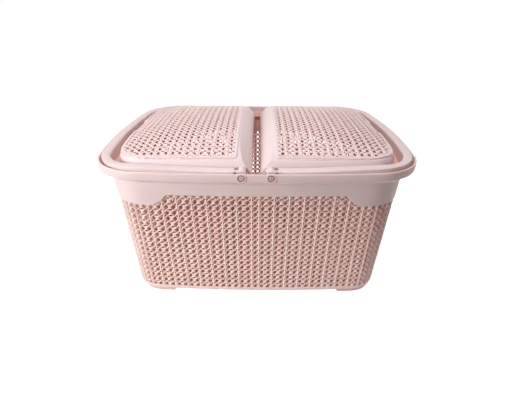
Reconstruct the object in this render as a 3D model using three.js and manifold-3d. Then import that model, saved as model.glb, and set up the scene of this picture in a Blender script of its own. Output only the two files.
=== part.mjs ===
// Lidded picnic basket, moulded in plastic: a tapered tub with a trough rim, two lids that hinge
// near the middle of the long sides, two bail handles that fold into the rim, and four snap pins.
// Millimetres. +Z is up, +X runs along the length and -Y is the front. The origin is the centre
// of the base, at the height of the surface that the basket stands on.
import * as THREE from 'three';
import { mergeVertices } from 'three/addons/utils/BufferGeometryUtils.js';
import Module from 'manifold-3d';

const wasm = await Module();
wasm.setup();

// Rim, seen from above: a rounded rectangle whose sides bow outwards
const rimLength = 420;
const rimWidth = 336.8;
const rimCornerRadius = 68;
const longSideBow = 5.1;
const shortSideBow = 5.8;

// Rim, in section: an upright lip outside a trough
const rimTop = 199.4;
const lipHeight = 10.8;
const lipThickness = 2.5;
const lipDraft = 0.45;
const troughDepth = 13.4;
const troughSlopeWidth = 4.5;
const ledgeWidth = 26.5;
const ledgeThickness = 2;

// Tub wall
const wallInsetAtRim = 15.3;
const wallTaper = 4.63;
const wallThickness = 1.6;
const bandStep = 1;
const bandDepth = 22.4;
const bandCornerDrop = 14;
const bandDropStart = 30;
const bandDropEnd = 10;
const baseRound = 6;
const floorThickness = 2;

// Feet
const footHeight = 4;
const footInset = 3;
const footWidth = 8.4;
const footReach = 20.7;
const footSlope = 3;

// Pins and their joints
const pinOffset = 17.2;
const pinDepth = 5;
const pinRadius = 3.3;
const pinClearance = 0.3;
const pinBarb = 0.55;
const pinBarbLength = 1.6;
const pinHeadRadius = 4.2;
const pinHeadThickness = 1.6;
const pinHeadGap = 0.9;
const slitWidth = 0.9;
const slitDepth = 8;
const collarRadius = 5.9;
const collarHeight = 0.5;
const counterboreRadius = 4.3;
const counterboreDepth = 2;
const lidOpening = 45;
const recessMargin = 2.2;

// Handles
const handleGap = 3.3;
const handleWidth = 15.7;
const handleWall = 2.2;
const handleSkirt = 8;
const handleRound = 5;
const handleEdgeRound = 0.8;
const handleRiseAtSide = 4.1;
const handleRiseAtPin = 0.6;
const riseStart = 42;
const riseEnd = 150;
const armEnd = 9;
const armEndPlate = 2;
const eyeRadius = 6.1;
const eyeThickness = 6.3;
const dimpleRadius = 1.2;
const dimpleDepth = 3;
const dimpleOffset = 7.2;
const dimpleInset = 2.4;

// Lids
const lidInset = 24.5;
const lidWall = 2;
const skirtTop = 12.4;
const shoulderInset = 28;
const shoulderHeight = 18.8;
const shoulderRound = 1;
const domeRise = 15.8;
const domeRun = 121;
const domeSidePower = 2.62;
const domeEndPower = 2.7;
const lidGap = 9.6;
const creaseReach = 19.4;
const creaseLength = 156;
const creaseSquareness = 2.5;
const fallDropMiddle = 22;
const fallDropEnd = 14.4;
const fallCurveMiddle = 0.42;
const knuckleRadius = 5.2;
const knuckleRoot = 1.4;
const notchHalfWidth = 20;
const notchFlare = 47;
const notchDepth = 2;
const panelHeight = 0.6;
const panelInset = 31;
const panelEndMargin = 5.9;
const panelInnerEdge = 26;
const panelCornerRadius = 4;

// Relief of the openwork on the wall and the lids: channels with crests between them. The crests
// are ribs and rows of beads in turn.
const channelDepth = 0.6;
const crestSink = 0.2;
const ribWidth = 2;
const wallPitch = 9.38;
const seamOffset = 0.9;
const baseBandHeight = 8.2;
const lidPitch = 8.79;
const lidChannelMargin = 6.14;
const panelMargin = 3;

// Clearance where one piece rests on or passes another
const seatGap = 0.3;

// How far a cut runs past a face that it opens, and past a whole piece
const overrun = 1;
const farPast = 60;

// Fineness of the curved surfaces
const cornerSteps = 8;
const sideSteps = 5;
const domeColumns = 12;
const domeSpread = 1.4;
const fallColumns = 6;
const domeRows = 20;
const roundSegments = 24;

// Levels and places that follow from the sizes above
const halfLength = rimLength / 2;
const halfWidth = rimWidth / 2;
const lipBottom = rimTop - lipHeight;
const ledgeTop = rimTop - troughDepth;
const ledgeBottom = ledgeTop - ledgeThickness;
const bandBottom = ledgeTop - bandDepth;
const pinHeight = rimTop - pinDepth;
const seatHeight = ledgeTop + seatGap;
const handleInset = lipThickness + handleGap;
const handleInnerInset = handleInset + handleWidth;
const boreRadius = pinRadius + pinClearance;
const eyeOuter = halfWidth - lipThickness - handleGap;
const eyeInner = eyeOuter - eyeThickness;
const knuckleOuter = eyeInner - seatGap;
const lidEnd = halfWidth - lidInset;
const shoulderEnd = halfWidth - shoulderInset;
const shoulderSide = halfLength - shoulderInset;
const shoulderLevel = ledgeTop + shoulderHeight;
const domeStart = shoulderSide - domeRun;
const valleyDepth = crestSink + channelDepth;
const lidInnerEdge = lidGap / 2;
const shoulderSlope = Math.atan2(shoulderInset - lidInset, shoulderHeight - skirtTop);
const cornerX = halfLength - rimCornerRadius - shortSideBow;
const cornerY = halfWidth - rimCornerRadius - longSideBow;
const lipRound = lipThickness / 2;
const quarterArcMiddle = 1 - Math.SQRT1_2;

// Where the lower edge of an open lid crosses the ledge's top, past the pin
const openTurn = THREE.MathUtils.degToRad(lidOpening);
const seatDrop = pinHeight - seatHeight;
const alongEdge = (pinHeight - ledgeTop - seatDrop * Math.cos(openTurn)) / Math.sin(openTurn);
const crossing = pinOffset + seatDrop * Math.sin(openTurn) - alongEdge * Math.cos(openTurn);
const recessHalfLength = crossing + recessMargin;
const recessEnd = lidEnd + recessMargin;

const blushPink = '#e6cbc6';
const greyPink = '#dcc6c4';
const shadedPink = '#c9a9a6';

function moulded(color) {
  return new THREE.MeshStandardMaterial({ color, roughness: 0.55, metalness: 0 });
}

// Booleans

function solidFrom(geometry) {
  const bare = geometry.clone();
  bare.deleteAttribute('normal');
  bare.deleteAttribute('uv');
  const merged = mergeVertices(bare, 1e-4);
  const mesh = new wasm.Mesh({
    numProp: 3,
    vertProperties: new Float32Array(merged.attributes.position.array),
    triVerts: new Uint32Array(merged.index.array),
  });
  return new wasm.Manifold(mesh);
}

function geometryFrom(solid) {
  const mesh = solid.getMesh();
  const geometry = new THREE.BufferGeometry();
  geometry.setAttribute('position', new THREE.BufferAttribute(mesh.vertProperties, 3));
  geometry.setIndex(new THREE.BufferAttribute(mesh.triVerts, 1));
  geometry.computeVertexNormals();
  return geometry;
}

function allJoined(solids) {
  return solids.reduce((whole, solid) => whole.add(solid));
}

function placed(geometry, x, y, z) {
  return solidFrom(geometry.translate(x, y, z));
}

function boxBetween(low, high) {
  const size = high.map((value, axis) => value - low[axis]);
  const middle = high.map((value, axis) => (value + low[axis]) / 2);
  return placed(new THREE.BoxGeometry(...size), ...middle);
}

// A cylinder along Y between two distances from the middle, on the front side or the rear side
function pinwiseCylinder(radius, inner, outer, side) {
  const geometry = new THREE.CylinderGeometry(radius, radius, outer - inner, roundSegments);
  return placed(geometry, -pinOffset, side * (inner + outer) / 2, pinHeight);
}

// Closed bodies from rings of points

function closedBody(points, faces) {
  const positions = new Float32Array(points.flatMap((point) => point.toArray()));
  const geometry = new THREE.BufferGeometry();
  geometry.setAttribute('position', new THREE.BufferAttribute(positions, 3));
  let volume = 0;
  for (const [a, b, c] of faces) {
    volume += points[a].dot(new THREE.Vector3().crossVectors(points[b], points[c]));
  }
  const outward = volume > 0 ? faces : faces.map(([a, b, c]) => [a, c, b]);
  geometry.setIndex(outward.flat());
  return solidFrom(geometry);
}

// Faces between each ring and the next, for the given number of steps
function facesBetween(rings, steps) {
  const count = rings[0].length;
  const faces = [];
  for (let ring = 0; ring < steps; ring += 1) {
    for (let i = 0; i < count; i += 1) {
      const next = (i + 1) % count;
      const low = ring * count;
      const high = ((ring + 1) % rings.length) * count;
      faces.push([low + i, low + next, high + next]);
      faces.push([low + i, high + next, high + i]);
    }
  }
  return faces;
}

// Rings joined one to the next, and the last to the first
function closedLoop(rings) {
  return closedBody(rings.flat(), facesBetween(rings, rings.length));
}

// Rings joined one to the next, with a flat cap on the first and the last
function loft(rings, capOutline) {
  const count = rings[0].length;
  const faces = facesBetween(rings, rings.length - 1);
  const last = (rings.length - 1) * count;
  const area = THREE.ShapeUtils.area(capOutline);
  for (const corners of THREE.ShapeUtils.triangulateShape(capOutline, [])) {
    const sameWay = THREE.ShapeUtils.area(corners.map((i) => capOutline[i])) * area > 0;
    const [a, b, c] = sameWay ? corners : [...corners].reverse();
    faces.push([a, c, b], [last + a, last + b, last + c]);
  }
  return closedBody(rings.flat(), faces);
}

// A body under a grid of surface points, down to a flat bottom
function bodyUnder(rows, bottom) {
  const columns = rows[0].length;
  const top = rows.flat();
  const points = [...top, ...top.map((point) => new THREE.Vector3(point.x, point.y, bottom))];
  const shift = top.length;
  const at = (row, column) => row * columns + column;
  const faces = [];
  for (let r = 0; r < rows.length - 1; r += 1) {
    for (let c = 0; c < columns - 1; c += 1) {
      const [a, b, d, e] = [at(r, c), at(r, c + 1), at(r + 1, c + 1), at(r + 1, c)];
      faces.push([a, b, d], [a, d, e]);
      faces.push([shift + a, shift + d, shift + b], [shift + a, shift + e, shift + d]);
    }
  }
  const wall = (a, b) => faces.push([b, a, shift + a], [b, shift + a, shift + b]);
  for (let c = 0; c < columns - 1; c += 1) {
    wall(at(0, c), at(0, c + 1));
    wall(at(rows.length - 1, c + 1), at(rows.length - 1, c));
  }
  for (let r = 0; r < rows.length - 1; r += 1) {
    wall(at(r + 1, 0), at(r, 0));
    wall(at(r, columns - 1), at(r + 1, columns - 1));
  }
  return closedBody(points, faces);
}

// The rim's outline as stations: a point, the outward normal, and what arc it lies on.
// A parallel outline moves every point along its own normal.

function sideArc(halfChord, bow) {
  return (halfChord * halfChord + bow * bow) / (2 * bow);
}

const longRadius = sideArc(cornerX, longSideBow);
const shortRadius = sideArc(cornerY, shortSideBow);
const longHalfAngle = Math.asin(cornerX / longRadius);
const shortHalfAngle = Math.asin(cornerY / shortRadius);

function station(centreX, centreY, radius, angle) {
  const nx = Math.cos(angle);
  const ny = Math.sin(angle);
  return { x: centreX + radius * nx, y: centreY + radius * ny, nx, ny };
}

function frontStation(angle) {
  const centreY = longRadius + rimCornerRadius - halfWidth;
  return station(0, centreY, longRadius + rimCornerRadius, -Math.PI / 2 + angle);
}

function leftStation(angle) {
  const centreX = shortRadius + rimCornerRadius - halfLength;
  return station(centreX, 0, shortRadius + rimCornerRadius, Math.PI - angle);
}

function frontLeftCorner(share) {
  const from = -Math.PI / 2 - longHalfAngle;
  const to = -Math.PI + shortHalfAngle;
  return station(-cornerX, -cornerY, rimCornerRadius, from + (to - from) * share);
}

const mirroredY = ({ x, y, nx, ny }) => ({ x, y: -y, nx, ny: -ny });
const mirroredX = ({ x, y, nx, ny }) => ({ x: -x, y, nx: -nx, ny });

// From the front, at startAngle left of the middle, round the left corner to the left middle
function frontLeftQuarter(startAngle) {
  const stations = [];
  for (let i = 0; i < sideSteps; i += 1) {
    stations.push(frontStation(-startAngle - (longHalfAngle - startAngle) * i / sideSteps));
  }
  for (let i = 0; i < cornerSteps; i += 1) {
    stations.push(frontLeftCorner(i / cornerSteps));
  }
  for (let i = 0; i < sideSteps; i += 1) {
    stations.push(leftStation(-shortHalfAngle * (1 - i / sideSteps)));
  }
  stations.push(leftStation(0));
  return stations;
}

// Left half, from the front round to the rear
function leftHalf(startAngle) {
  const front = frontLeftQuarter(startAngle);
  const rear = front.slice(0, -1).map(mirroredY).reverse();
  return [...front, ...rear];
}

function wholeRim() {
  const left = leftHalf(0);
  const right = left.slice(1, -1).map(mirroredX).reverse();
  return [...left, ...right];
}

const rimStations = wholeRim();

// A body whose outline at each level is the rim's outline moved inwards
function rimStack(levels) {
  const rings = levels.map(({ inset, z }) => (
    rimStations.map(({ x, y, nx, ny }) => {
      const level = typeof z === 'function' ? z(x, y) : z;
      return new THREE.Vector3(x - inset(level) * nx, y - inset(level) * ny, level);
    })
  ));
  return loft(rings, rings[0].map(({ x, y }) => new THREE.Vector2(x, y)));
}

const fixed = (value) => () => value;
const wallInset = (z) => wallInsetAtRim
  + (ledgeBottom - z) * Math.tan(THREE.MathUtils.degToRad(wallTaper));

// Lengths round a quarter of the rim's outline moved in by an inset: half the front, the corner,
// and half the side
function quarterLengths(inset) {
  const cornerAngle = Math.PI / 2 - longHalfAngle - shortHalfAngle;
  return [
    (longRadius + rimCornerRadius - inset) * longHalfAngle,
    (rimCornerRadius - inset) * cornerAngle,
    (shortRadius + rimCornerRadius - inset) * shortHalfAngle,
  ];
}

const total = (lengths) => lengths.reduce((sum, length) => sum + length);

function quarterStation(distance, [front, corner, side]) {
  if (distance <= front) {
    return frontStation(-longHalfAngle * distance / front);
  }
  if (distance <= front + corner) {
    return frontLeftCorner((distance - front) / corner);
  }
  return leftStation(-shortHalfAngle * (1 - (distance - front - corner) / side));
}

// Station at a distance along the outline moved in by an inset, from the front middle to the left
function outlineStation(distance, inset) {
  const lengths = quarterLengths(inset);
  const quarter = total(lengths);
  const around = THREE.MathUtils.euclideanModulo(distance, 4 * quarter);
  const right = around > 2 * quarter;
  const half = right ? 4 * quarter - around : around;
  const rear = half > quarter;
  const found = quarterStation(rear ? 2 * quarter - half : half, lengths);
  const sided = rear ? mirroredY(found) : found;
  return right ? mirroredX(sided) : sided;
}

// Distance at which a station of one quarter outline lies on another
function sameStation(distance, from, to) {
  const [front, corner] = from;
  if (distance <= front) {
    return distance * to[0] / front;
  }
  if (distance <= front + corner) {
    return to[0] + (distance - front) * to[1] / corner;
  }
  return to[0] + to[1] + (distance - front - corner) * to[2] / from[2];
}

// Tub

function smoothStep(value, from, to) {
  const share = Math.min(1, Math.max(0, (value - from) / (to - from)));
  return share * share * (3 - 2 * share);
}

// Lower edge of the plain band: level along the sides, lower round the corners
function bandEdge(x, y) {
  const alongX = smoothStep(Math.abs(x), cornerX - bandDropStart, cornerX - bandDropEnd);
  const alongY = smoothStep(Math.abs(y), cornerY - bandDropStart, cornerY - bandDropEnd);
  return bandBottom - bandCornerDrop * alongX * alongY;
}

// Levels of the rounded lower edge, from underneath up to the wall
function roundedBase() {
  return [90, 60, 30, 0].map((degrees) => {
    const turn = THREE.MathUtils.degToRad(degrees);
    return {
      inset: (z) => wallInset(z) + baseRound * (1 - Math.cos(turn)),
      z: footHeight + baseRound * (1 - Math.sin(turn)),
    };
  });
}

function tubShell() {
  const bandInset = (z) => wallInset(z) - bandStep;
  const innerInset = (z) => wallInset(z) + wallThickness;
  const slopeInset = lipThickness + lipDraft + troughSlopeWidth;
  const floorTop = footHeight + floorThickness;
  return rimStack([
    ...roundedBase(),
    { inset: wallInset, z: (x, y) => bandEdge(x, y) - bandStep },
    { inset: bandInset, z: bandEdge },
    { inset: bandInset, z: ledgeBottom },
    { inset: fixed(slopeInset), z: ledgeBottom },
    { inset: fixed(lipDraft), z: lipBottom },
    { inset: fixed(0), z: rimTop - lipRound },
    { inset: fixed(lipRound / 2), z: rimTop },
    { inset: fixed(lipThickness - lipRound / 2), z: rimTop },
    { inset: fixed(lipThickness), z: rimTop - lipRound },
    { inset: fixed(lipThickness + lipDraft), z: lipBottom + ledgeThickness / 2 },
    { inset: fixed(slopeInset), z: ledgeTop },
    { inset: fixed(ledgeWidth), z: ledgeTop },
    { inset: fixed(ledgeWidth), z: ledgeBottom },
    { inset: innerInset, z: ledgeBottom },
    { inset: innerInset, z: floorTop + baseRound / 2 },
    { inset: (z) => innerInset(z) + baseRound / 2, z: floorTop },
  ]);
}

// The wall's channels are counted from a seam near the front middle. Down the wall, they close up
// midway between evenly along the outline and only in its corners.
const wallQuarter = quarterLengths(wallInset(bandBottom));
const wallChannels = 2 * Math.round((4 * total(wallQuarter) / wallPitch - 1) / 2) + 1;

function wallPoint(pitches, z, depth) {
  const inset = wallInset(z);
  const here = quarterLengths(inset);
  const run = Math.abs(pitches) * 4 * total(wallQuarter) / wallChannels;
  const rear = run > total(wallQuarter);
  const folded = rear ? 2 * total(wallQuarter) - run : run;
  const evenly = folded * total(here) / total(wallQuarter);
  const midway = (evenly + sameStation(folded, wallQuarter, here)) / 2;
  const distance = Math.sign(pitches) * (rear ? 2 * total(here) - midway : midway);
  const { x, y, nx, ny } = outlineStation(distance + seamOffset, inset);
  return new THREE.Vector3(x - (inset + depth) * nx, y - (inset + depth) * ny, z);
}

// Each channel and the crest after it, as places in pitches with their depths
function wallProfile() {
  const last = (wallChannels - 1) / 2;
  const ribEdge = ribWidth / 2 / wallPitch;
  const profile = [];
  for (let channel = -last; channel <= last; channel += 1) {
    const crest = channel + 0.5;
    const isRib = Math.round(Math.abs(crest) - 0.5) % 2 === 0;
    const edges = isRib ? [crest - ribEdge, crest + ribEdge] : [crest];
    profile.push([channel, valleyDepth], ...edges.map((place) => [place, crestSink]));
  }
  return profile;
}

// What goes from the wall's outside to leave its crests, between the band and the base
function wallRelief() {
  const bottom = footHeight + baseBandHeight;
  const outside = -bandStep - overrun;
  return closedLoop(wallProfile().map(([pitches, depth]) => {
    const { x, y } = wallPoint(pitches, bandBottom, 0);
    const top = bandEdge(x, y) - bandStep;
    return [
      wallPoint(pitches, bottom, depth),
      wallPoint(pitches, top, depth),
      wallPoint(pitches, top, outside),
      wallPoint(pitches, bottom, outside),
    ];
  }));
}

// A pad under each corner of the base, its ends sloped
function feet() {
  const ring = (inset, low, high) => rimStack([
    { inset: (z) => wallInset(z) + inset, z: low },
    { inset: (z) => wallInset(z) + inset, z: high },
  ]);
  const outer = ring(footInset, 0, footHeight + floorThickness / 2);
  const pads = outer.subtract(ring(footInset + footWidth, -overrun, rimTop));
  const reachX = cornerX - footReach;
  const reachY = cornerY - footReach;
  const slopedGap = (along, across, turned) => {
    const gap = new THREE.Shape([
      new THREE.Vector2(-along, -overrun),
      new THREE.Vector2(along, -overrun),
      new THREE.Vector2(along - footSlope, footHeight),
      new THREE.Vector2(footSlope - along, footHeight),
    ]);
    const geometry = new THREE.ExtrudeGeometry(gap, { depth: 2 * across, bevelEnabled: false });
    geometry.translate(0, 0, -across).rotateX(Math.PI / 2);
    if (turned) {
      geometry.rotateZ(Math.PI / 2);
    }
    return solidFrom(geometry);
  };
  return pads.subtract(slopedGap(reachX, halfWidth, false)).subtract(slopedGap(reachY, halfLength, true));
}

// What goes from the ledge so that the lids' inner ends can swing down past it
function lidRecesses() {
  const low = lidEnd - farPast;
  const levels = [ledgeBottom - overrun, ledgeTop + overrun];
  return [-1, 1].map((side) => {
    const ends = [side * low, side * recessEnd].sort((a, b) => a - b);
    return boxBetween(
      [-recessHalfLength, ends[0], levels[0]],
      [recessHalfLength, ends[1], levels[1]],
    );
  });
}

function pinCollars() {
  return [-1, 1].map((side) => (
    pinwiseCylinder(collarRadius, halfWidth - lipThickness, halfWidth + collarHeight, side)
  ));
}

function pinHoles() {
  const face = halfWidth + collarHeight;
  const lipInside = halfWidth - lipThickness - lipDraft;
  return [-1, 1].flatMap((side) => [
    pinwiseCylinder(boreRadius, lipInside - overrun, face + overrun, side),
    pinwiseCylinder(counterboreRadius, face - counterboreDepth, face + overrun, side),
  ]);
}

const bothEnds = (solids) => solids.flatMap((solid) => [solid, solid.rotate([0, 0, 180])]);

function basketTub() {
  const lipSlice = boxBetween([-halfLength, -rimWidth, lipBottom], [halfLength, rimWidth, rimTop]);
  const collars = allJoined(bothEnds(pinCollars())).intersect(lipSlice);
  const body = allJoined([tubShell(), feet(), collars]);
  return body.subtract(allJoined([...bothEnds(pinHoles()), ...lidRecesses()])).subtract(wallRelief());
}

// Lids: the left one, from which the right one is turned

// Distance from the middle to the crease where the lid's top starts to fall to the gap
function creaseAt(y) {
  const share = Math.min(1, Math.abs(y) / creaseLength);
  return lidInnerEdge + creaseReach * (1 - share ** creaseSquareness) ** (1 / creaseSquareness);
}

function domeHeight(distance, y) {
  const alongRun = Math.max(0, (distance - domeStart) / domeRun);
  const toEnd = Math.abs(y) / shoulderEnd;
  return shoulderLevel + domeRise * (1 - toEnd ** domeEndPower) * (1 - alongRun ** domeSidePower);
}

// Fall from the crease to the inner edge: drop runs from 0 to 1
function fallPoint(y, drop) {
  const endShare = Math.min(1, Math.abs(y) / shoulderEnd);
  const curve = fallCurveMiddle + (1 - fallCurveMiddle) * endShare ** 4;
  const depth = fallDropMiddle + (fallDropEnd - fallDropMiddle) * endShare ** 2;
  const crease = creaseAt(y);
  const inwards = 1 - (1 - drop) ** (1 / curve);
  const distance = crease + (lidInnerEdge - crease) * inwards;
  return new THREE.Vector3(-distance, y, domeHeight(crease, y) - depth * drop);
}

function lidSurfacePoint(y, column) {
  if (column < domeColumns) {
    const share = (column / domeColumns) ** domeSpread;
    const distance = halfLength + (creaseAt(y) - halfLength) * share;
    return new THREE.Vector3(-distance, y, domeHeight(distance, y));
  }
  return fallPoint(y, (column - domeColumns) / fallColumns);
}

// Surface points moved square to the surface: inwards when the depth is positive
function lidSurface(depth) {
  const step = 1e-3;
  const rows = [];
  for (let r = 0; r <= domeRows; r += 1) {
    const y = halfWidth * (2 * r / domeRows - 1);
    const row = [];
    for (let c = 0; c <= domeColumns + fallColumns; c += 1) {
      const point = lidSurfacePoint(y, c);
      const back = c === 0 ? 0 : step;
      const ahead = c === domeColumns + fallColumns ? 0 : step;
      const along = lidSurfacePoint(y, c + ahead).sub(lidSurfacePoint(y, c - back));
      const across = lidSurfacePoint(y + step, c).sub(lidSurfacePoint(y - step, c));
      const normal = along.cross(across).normalize();
      row.push(point.addScaledVector(normal, -depth));
    }
    rows.push(row);
  }
  return rows;
}

// Space inside the finger notch in the outer edge, and beyond it
function notchSpace(extra) {
  const inner = shoulderSide - notchDepth - extra;
  const narrow = notchHalfWidth + extra;
  const wide = narrow + (halfLength - inner) * Math.tan(THREE.MathUtils.degToRad(notchFlare));
  const outline = new THREE.Shape([
    new THREE.Vector2(-inner, -narrow),
    new THREE.Vector2(-inner, narrow),
    new THREE.Vector2(-halfLength, wide),
    new THREE.Vector2(-halfLength, -wide),
  ]);
  const geometry = new THREE.ExtrudeGeometry(outline, { depth: rimTop, bevelEnabled: false });
  return placed(geometry, 0, 0, farPast);
}

// Skirt and shoulder, without the top surface: narrowed all round by extra
function lidSides(extra, bottom) {
  const shoulder = shoulderInset + extra / Math.cos(shoulderSlope);
  const beforeRound = shoulder - shoulderRound * Math.sin(shoulderSlope);
  const roundFrom = shoulderLevel - shoulderRound * Math.cos(shoulderSlope);
  return rimStack([
    { inset: fixed(lidInset + extra), z: bottom },
    { inset: fixed(lidInset + extra), z: ledgeTop + skirtTop - extra * Math.tan(shoulderSlope / 2) },
    { inset: fixed(beforeRound), z: roundFrom },
    { inset: fixed(shoulder + shoulderRound), z: shoulderLevel + shoulderRound / 4 },
    { inset: fixed(shoulder + shoulderRound), z: rimTop + farPast },
  ]).subtract(notchSpace(extra));
}

// Each crest of the lid's panel and the channel after it, as distances from the middle with their
// depths: a row of beads first, then a rib, and so on in turn
function lidProfile() {
  const first = panelInnerEdge + lidChannelMargin - lidPitch / 2;
  const profile = [[panelInnerEdge - overrun, crestSink]];
  let isRib = false;
  for (let crest = first; crest < shoulderSide - lidPitch; crest += lidPitch) {
    const edges = isRib ? [crest - ribWidth / 2, crest + ribWidth / 2] : [crest];
    profile.push(...edges.map((place) => [place, crestSink]), [crest + lidPitch / 2, valleyDepth]);
    isRib = !isRib;
  }
  return [...profile, [shoulderSide, crestSink]];
}

// The lid's top raised to its panel, with or without the relief
function panelSurface(isPlain) {
  const rows = [];
  for (let r = 0; r <= domeRows; r += 1) {
    const y = shoulderEnd * (2 * r / domeRows - 1);
    rows.push(lidProfile().map(([distance, depth]) => {
      const lift = isPlain ? panelHeight : panelHeight - depth;
      return new THREE.Vector3(-distance, y, domeHeight(distance, y) + lift);
    }));
  }
  return rows;
}

// Upright space over the lid's panel, drawn in all round by shrink
function panelSpace(shrink) {
  const ends = shoulderEnd - panelEndMargin - shrink;
  const inner = panelInnerEdge + shrink;
  const sides = rimStack([
    { inset: fixed(panelInset + shrink), z: rimTop },
    { inset: fixed(panelInset + shrink), z: rimTop + farPast },
  ]);
  const radius = panelCornerRadius;
  const outline = new THREE.Shape();
  outline.moveTo(-halfLength, -ends);
  outline.lineTo(-inner - radius, -ends);
  outline.absarc(-inner - radius, radius - ends, radius, -Math.PI / 2, 0, false);
  outline.absarc(-inner - radius, ends - radius, radius, 0, Math.PI / 2, false);
  outline.lineTo(-halfLength, ends);
  const options = { depth: farPast, bevelEnabled: false, curveSegments: cornerSteps / 2 };
  const upright = placed(new THREE.ExtrudeGeometry(outline, options), 0, 0, rimTop);
  return sides.intersect(upright).subtract(notchSpace(panelInset - shoulderInset + shrink));
}

// Raised panel on the lid's top, inside a plain border
function lidPanel() {
  return bodyUnder(panelSurface(true), rimTop).intersect(panelSpace(0));
}

// What goes from the panel's top to leave its crests
function lidRelief() {
  return bodyUnder(panelSurface(false), rimTop + farPast / 2).intersect(panelSpace(panelMargin));
}

function lidKnuckles() {
  const inner = lidEnd - knuckleRoot;
  return [-1, 1].map((side) => pinwiseCylinder(knuckleRadius, inner, knuckleOuter, side));
}

function lidBores() {
  const inner = lidEnd - lidWall - overrun;
  return [-1, 1].map((side) => pinwiseCylinder(boreRadius, inner, knuckleOuter + overrun, side));
}

// Space behind the skirt, open to the front and rear between the knuckles and the gap
function lidHollow() {
  const openFrom = knuckleRadius - pinOffset;
  const openEnds = boxBetween([openFrom, -halfWidth, farPast], [0, halfWidth, rimTop + farPast]);
  const sides = lidSides(lidWall, farPast).add(openEnds);
  return bodyUnder(lidSurface(lidWall), farPast).intersect(sides);
}

function lid() {
  const shell = bodyUnder(lidSurface(0), farPast).intersect(lidSides(0, seatHeight));
  const solid = allJoined([shell, lidPanel()]).subtract(lidHollow()).subtract(lidRelief());
  return allJoined([solid, ...lidKnuckles()]).subtract(allJoined(lidBores()));
}

// Handles: the left one, from which the right one is turned

function handleTop(x) {
  const rise = smoothStep(Math.abs(x), riseStart, riseEnd);
  return rimTop + handleRiseAtPin + (handleRiseAtSide - handleRiseAtPin) * rise;
}

// Channel section at one station: distance in from the rim, and height
function handleSection(top) {
  const outer = handleInset;
  const inner = handleInnerInset;
  const wall = handleWall;
  return [
    [outer, top - handleSkirt],
    [outer + wall, top - handleSkirt],
    [outer + wall, top - wall],
    [inner - handleRound, top - wall],
    [inner - wall, top - handleRound],
    [inner - wall, seatHeight],
    [inner, seatHeight],
    [inner, top - handleRound],
    [inner - handleRound * quarterArcMiddle, top - handleRound * quarterArcMiddle],
    [inner - handleRound, top],
    [outer + handleEdgeRound, top],
    [outer, top - handleEdgeRound],
  ];
}

function sweptAlong(stations, sectionAt) {
  const rings = stations.map(({ x, y, nx, ny }) => (
    sectionAt(x).map(([inset, z]) => new THREE.Vector3(x - inset * nx, y - inset * ny, z))
  ));
  return loft(rings, sectionAt(stations[0].x).map(([u, v]) => new THREE.Vector2(u, v)));
}

// Closes the channel where an arm ends near its pin
function armPlate(side) {
  const from = -pinOffset - armEnd;
  const levels = [handleTop(0) - handleSkirt, handleTop(0) - handleWall / 2];
  const between = [handleInset + handleWall / 2, handleInnerInset - handleWall / 2];
  const ends = between.map((inset) => side * (halfWidth - inset)).sort((a, b) => a - b);
  return boxBetween([from - armEndPlate, ends[0], levels[0]], [from, ends[1], levels[1]]);
}

function handleEye(side) {
  const disc = pinwiseCylinder(eyeRadius, eyeInner, eyeOuter, side);
  const ends = [side * eyeInner, side * eyeOuter].sort((a, b) => a - b);
  const from = -pinOffset - armEnd - armEndPlate - overrun;
  const levels = [pinHeight - eyeRadius, handleTop(0)];
  return disc.add(boxBetween([from, ends[0], levels[0]], [-pinOffset, ends[1], levels[1]]));
}

function handleHoles(side) {
  const segments = roundSegments / 2;
  const dimple = new THREE.CylinderGeometry(dimpleRadius, dimpleRadius, 2 * dimpleDepth, segments);
  dimple.rotateX(Math.PI / 2);
  return [
    pinwiseCylinder(boreRadius, eyeInner - overrun, eyeOuter + overrun, side),
    placed(dimple, -pinOffset - dimpleOffset, side * (eyeOuter - dimpleInset), handleTop(0)),
  ];
}

function handle() {
  const startAngle = Math.asin((pinOffset + armEnd) / (longRadius + rimCornerRadius));
  const bail = sweptAlong(leftHalf(startAngle), (x) => handleSection(handleTop(x)));
  const ends = [-1, 1].flatMap((side) => [armPlate(side), handleEye(side)]);
  return allJoined([bail, ...ends]).subtract(allJoined([-1, 1].flatMap(handleHoles)));
}

// Pins: a head behind the lid's skirt, a shaft, and a split barbed end in the lip's counterbore

function snapPin() {
  const face = halfWidth + collarHeight - seatGap / 2;
  const barbBack = halfWidth + collarHeight - counterboreDepth + seatGap;
  const tip = Math.min(barbBack + pinBarbLength, face);
  const headOuter = lidEnd - lidWall - pinHeadGap;
  const profile = [
    [0, -headOuter + pinHeadThickness],
    [pinHeadRadius, -headOuter + pinHeadThickness],
    [pinHeadRadius, -headOuter],
    [pinRadius, -headOuter],
    [pinRadius, -barbBack],
    [pinRadius + pinBarb, -barbBack],
    [pinRadius, -tip],
    [0, -tip],
  ].map(([r, y]) => new THREE.Vector2(r, y));
  const body = solidFrom(new THREE.LatheGeometry(profile.reverse(), roundSegments));
  const reach = pinRadius + pinBarb + overrun;
  const slit = [-reach, -face - overrun, -slitWidth / 2];
  const slitEnd = [reach, slitDepth - face, slitWidth / 2];
  const level = boxBetween(slit, slitEnd);
  return body.subtract(level).subtract(level.rotate([0, 90, 0]));
}

// Assembly

const basket = new THREE.Group();

function addNode(name, geometry, color, turned = false) {
  const mesh = new THREE.Mesh(geometry, moulded(color));
  mesh.name = name;
  mesh.rotation.z = turned ? Math.PI : 0;
  basket.add(mesh);
  return mesh;
}

addNode('basket_tub', geometryFrom(basketTub()), blushPink);

const lidGeometry = geometryFrom(lid());
const handleGeometry = geometryFrom(handle());
addNode('lid_left', lidGeometry, blushPink);
addNode('lid_right', lidGeometry, blushPink, true);
addNode('handle_left', handleGeometry, greyPink);
addNode('handle_right', handleGeometry, greyPink, true);

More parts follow.
